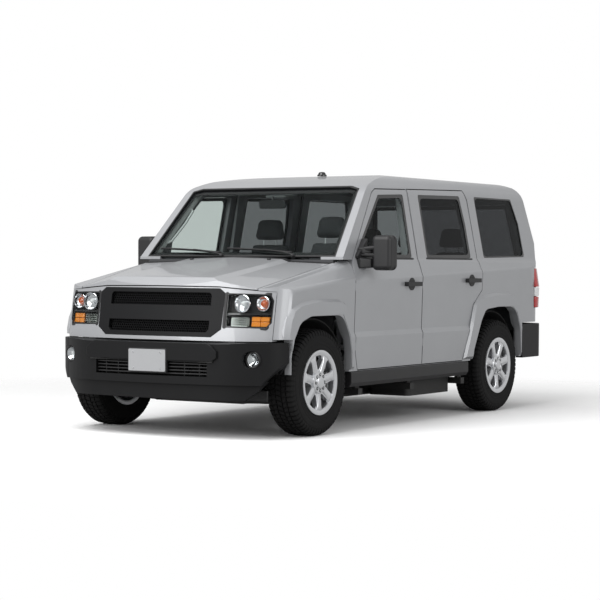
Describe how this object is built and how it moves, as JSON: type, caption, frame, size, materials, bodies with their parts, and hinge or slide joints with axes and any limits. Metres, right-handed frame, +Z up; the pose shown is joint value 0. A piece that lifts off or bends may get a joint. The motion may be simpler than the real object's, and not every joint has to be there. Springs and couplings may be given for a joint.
{
  "type": "wheelchair accessible van",
  "caption": "Full-size accessible van: hinged doors, hood and tailgate, steered front wheels, and a ramp that slides out under the right rear door.",
  "frame": {"origin": "on the road under the middle of the vehicle's overall box", "axes": "+X forward, +Y the vehicle's left, +Z up"},
  "size_m": [4.7398, 2.392, 2.03],
  "materials": {
    "paint": "metallic silver paint",
    "grey_plastic": "satin moulded plastic",
    "grille_plastic": "satin black",
    "black_plastic": "grained black",
    "liner_plastic": "matt black",
    "lamp_chrome": "bright reflector",
    "red_lens": "red lens",
    "clear_glass": "light tint",
    "privacy_glass": "dark tint",
    "floor_metal": "dark grey",
    "frame_black": "chassis black",
    "dash_plastic": "grained dark grey",
    "seat_cloth": "woven charcoal cloth",
    "cast_iron": "raw casting",
    "exhaust_steel": "aluminised steel",
    "tank_plastic": "blow-moulded black",
    "brake_iron": "machined iron",
    "ramp_metal": "anodised",
    "tyre": "rubber",
    "alloy": "silver lacquered alloy"
  },
  "bodies": {
    "body": {"antenna": "black_plastic", "body_side_left": "paint", "body_side_right": "paint", "chassis_frame": "frame_black", "cowl_panel": "black_plastic", "dashboard": "dash_plastic", "driver_seat": "seat_cloth", "engine_block": "cast_iron", "exhaust_system": "exhaust_steel", "floor_pan": "floor_metal", "fog_lamps": "lamp_chrome", "front_bumper": "grey_plastic", "front_fender_left": "paint", "front_fender_right": "paint", "front_suspension": "frame_black", "fuel_tank": "tank_plastic", "grille": "grille_plastic", "headlamps": "lamp_chrome", "nose_panel": "paint", "passenger_seat": "seat_cloth", "quarter_glass": "privacy_glass", "ramp_cassette": "frame_black", "rear_axle": "frame_black", "rear_bench": "seat_cloth", "rear_bumper": "grey_plastic", "rocker_left": "black_plastic", "rocker_right": "black_plastic", "roof_panel": "paint", "steering_wheel": "dash_plastic", "tail_lamps": "red_lens", "wheel_liners": "liner_plastic", "windscreen": "clear_glass"},
    "hood": {"hood": "paint"},
    "door_front_left": {"front_door_left": "paint", "front_door_glass_left": "clear_glass", "front_door_trim_left": "black_plastic"},
    "door_front_right": {"front_door_right": "paint", "front_door_glass_right": "clear_glass", "front_door_trim_right": "black_plastic"},
    "door_rear_left": {"rear_door_left": "paint", "rear_door_glass_left": "privacy_glass", "rear_door_trim_left": "black_plastic"},
    "door_rear_right": {"rear_door_right": "paint", "rear_door_glass_right": "privacy_glass", "rear_door_trim_right": "black_plastic"},
    "tailgate": {"tailgate": "paint", "tailgate_glass": "privacy_glass"},
    "knuckle_left": {"knuckle_left": "brake_iron"},
    "knuckle_right": {"knuckle_right": "brake_iron"},
    "ramp_carriage": {"ramp_carriage": "ramp_metal"},
    "ramp_plate": {"ramp_plate": "ramp_metal"},
    "wheel_front_left": {"tyre_front_left": "tyre", "rim_front_left": "alloy"},
    "wheel_front_right": {"tyre_front_right": "tyre", "rim_front_right": "alloy"},
    "wheel_rear_left": {"tyre_rear_left": "tyre", "rim_rear_left": "alloy"},
    "wheel_rear_right": {"tyre_rear_right": "tyre", "rim_rear_right": "alloy"}
  },
  "joints": [
    {"name": "front_door_left_hinge", "type": "hinge", "parent": "body", "child": "door_front_left", "pos_m": [1.083, 0.997, 0.8], "axis": [0, 0, -1], "range_deg": [0, 68]},
    {"name": "rear_door_left_hinge", "type": "hinge", "parent": "body", "child": "door_rear_left", "pos_m": [0.016, 0.997, 0.8], "axis": [0, 0, -1], "range_deg": [0, 70]},
    {"name": "steer_left", "type": "hinge", "parent": "body", "child": "knuckle_left", "pos_m": [1.598, 0.8, 0.394], "axis": [0, 0, 1], "range_deg": [-32, 32]},
    {"name": "wheel_front_left_spin", "type": "hinge", "parent": "knuckle_left", "child": "wheel_front_left", "pos_m": [1.598, 0.883, 0.394], "axis": [0, 1, 0], "continuous": true},
    {"name": "wheel_rear_left_spin", "type": "hinge", "parent": "body", "child": "wheel_rear_left", "pos_m": [-1.348, 0.883, 0.394], "axis": [0, 1, 0], "continuous": true},
    {"name": "front_door_right_hinge", "type": "hinge", "parent": "body", "child": "door_front_right", "pos_m": [1.083, -0.997, 0.8], "axis": [0, 0, 1], "range_deg": [0, 68]},
    {"name": "rear_door_right_hinge", "type": "hinge", "parent": "body", "child": "door_rear_right", "pos_m": [0.016, -0.997, 0.8], "axis": [0, 0, 1], "range_deg": [0, 70]},
    {"name": "steer_right", "type": "hinge", "parent": "body", "child": "knuckle_right", "pos_m": [1.598, -0.8, 0.394], "axis": [0, 0, 1], "range_deg": [-32, 32]},
    {"name": "wheel_front_right_spin", "type": "hinge", "parent": "knuckle_right", "child": "wheel_front_right", "pos_m": [1.598, -0.883, 0.394], "axis": [0, 1, 0], "continuous": true},
    {"name": "wheel_rear_right_spin", "type": "hinge", "parent": "body", "child": "wheel_rear_right", "pos_m": [-1.348, -0.883, 0.394], "axis": [0, 1, 0], "continuous": true},
    {"name": "hood_hinge", "type": "hinge", "parent": "body", "child": "hood", "pos_m": [1.244, 0, 1.297], "axis": [0, -1, 0], "range_deg": [0, 55]},
    {"name": "tailgate_hinge", "type": "hinge", "parent": "body", "child": "tailgate", "pos_m": [-2.113, 0, 1.898], "axis": [0, 1, 0], "range_deg": [0, 85]},
    {"name": "ramp_slide", "type": "slide", "parent": "body", "child": "ramp_carriage", "axis": [0, -1, 0], "range_m": [0, 1.16]},
    {"name": "ramp_tilt", "type": "hinge", "parent": "ramp_carriage", "child": "ramp_plate", "pos_m": [-0.34, 0.22, 0.381], "axis": [1, 0, 0], "range_deg": [0, 16]}
  ],
  "couplings": [
    {"joint": "steer_right", "follows": "steer_left", "ratio": 1},
    {"joint": "ramp_tilt", "follows": "ramp_slide", "rad_per_m": 0.239}
  ]
}
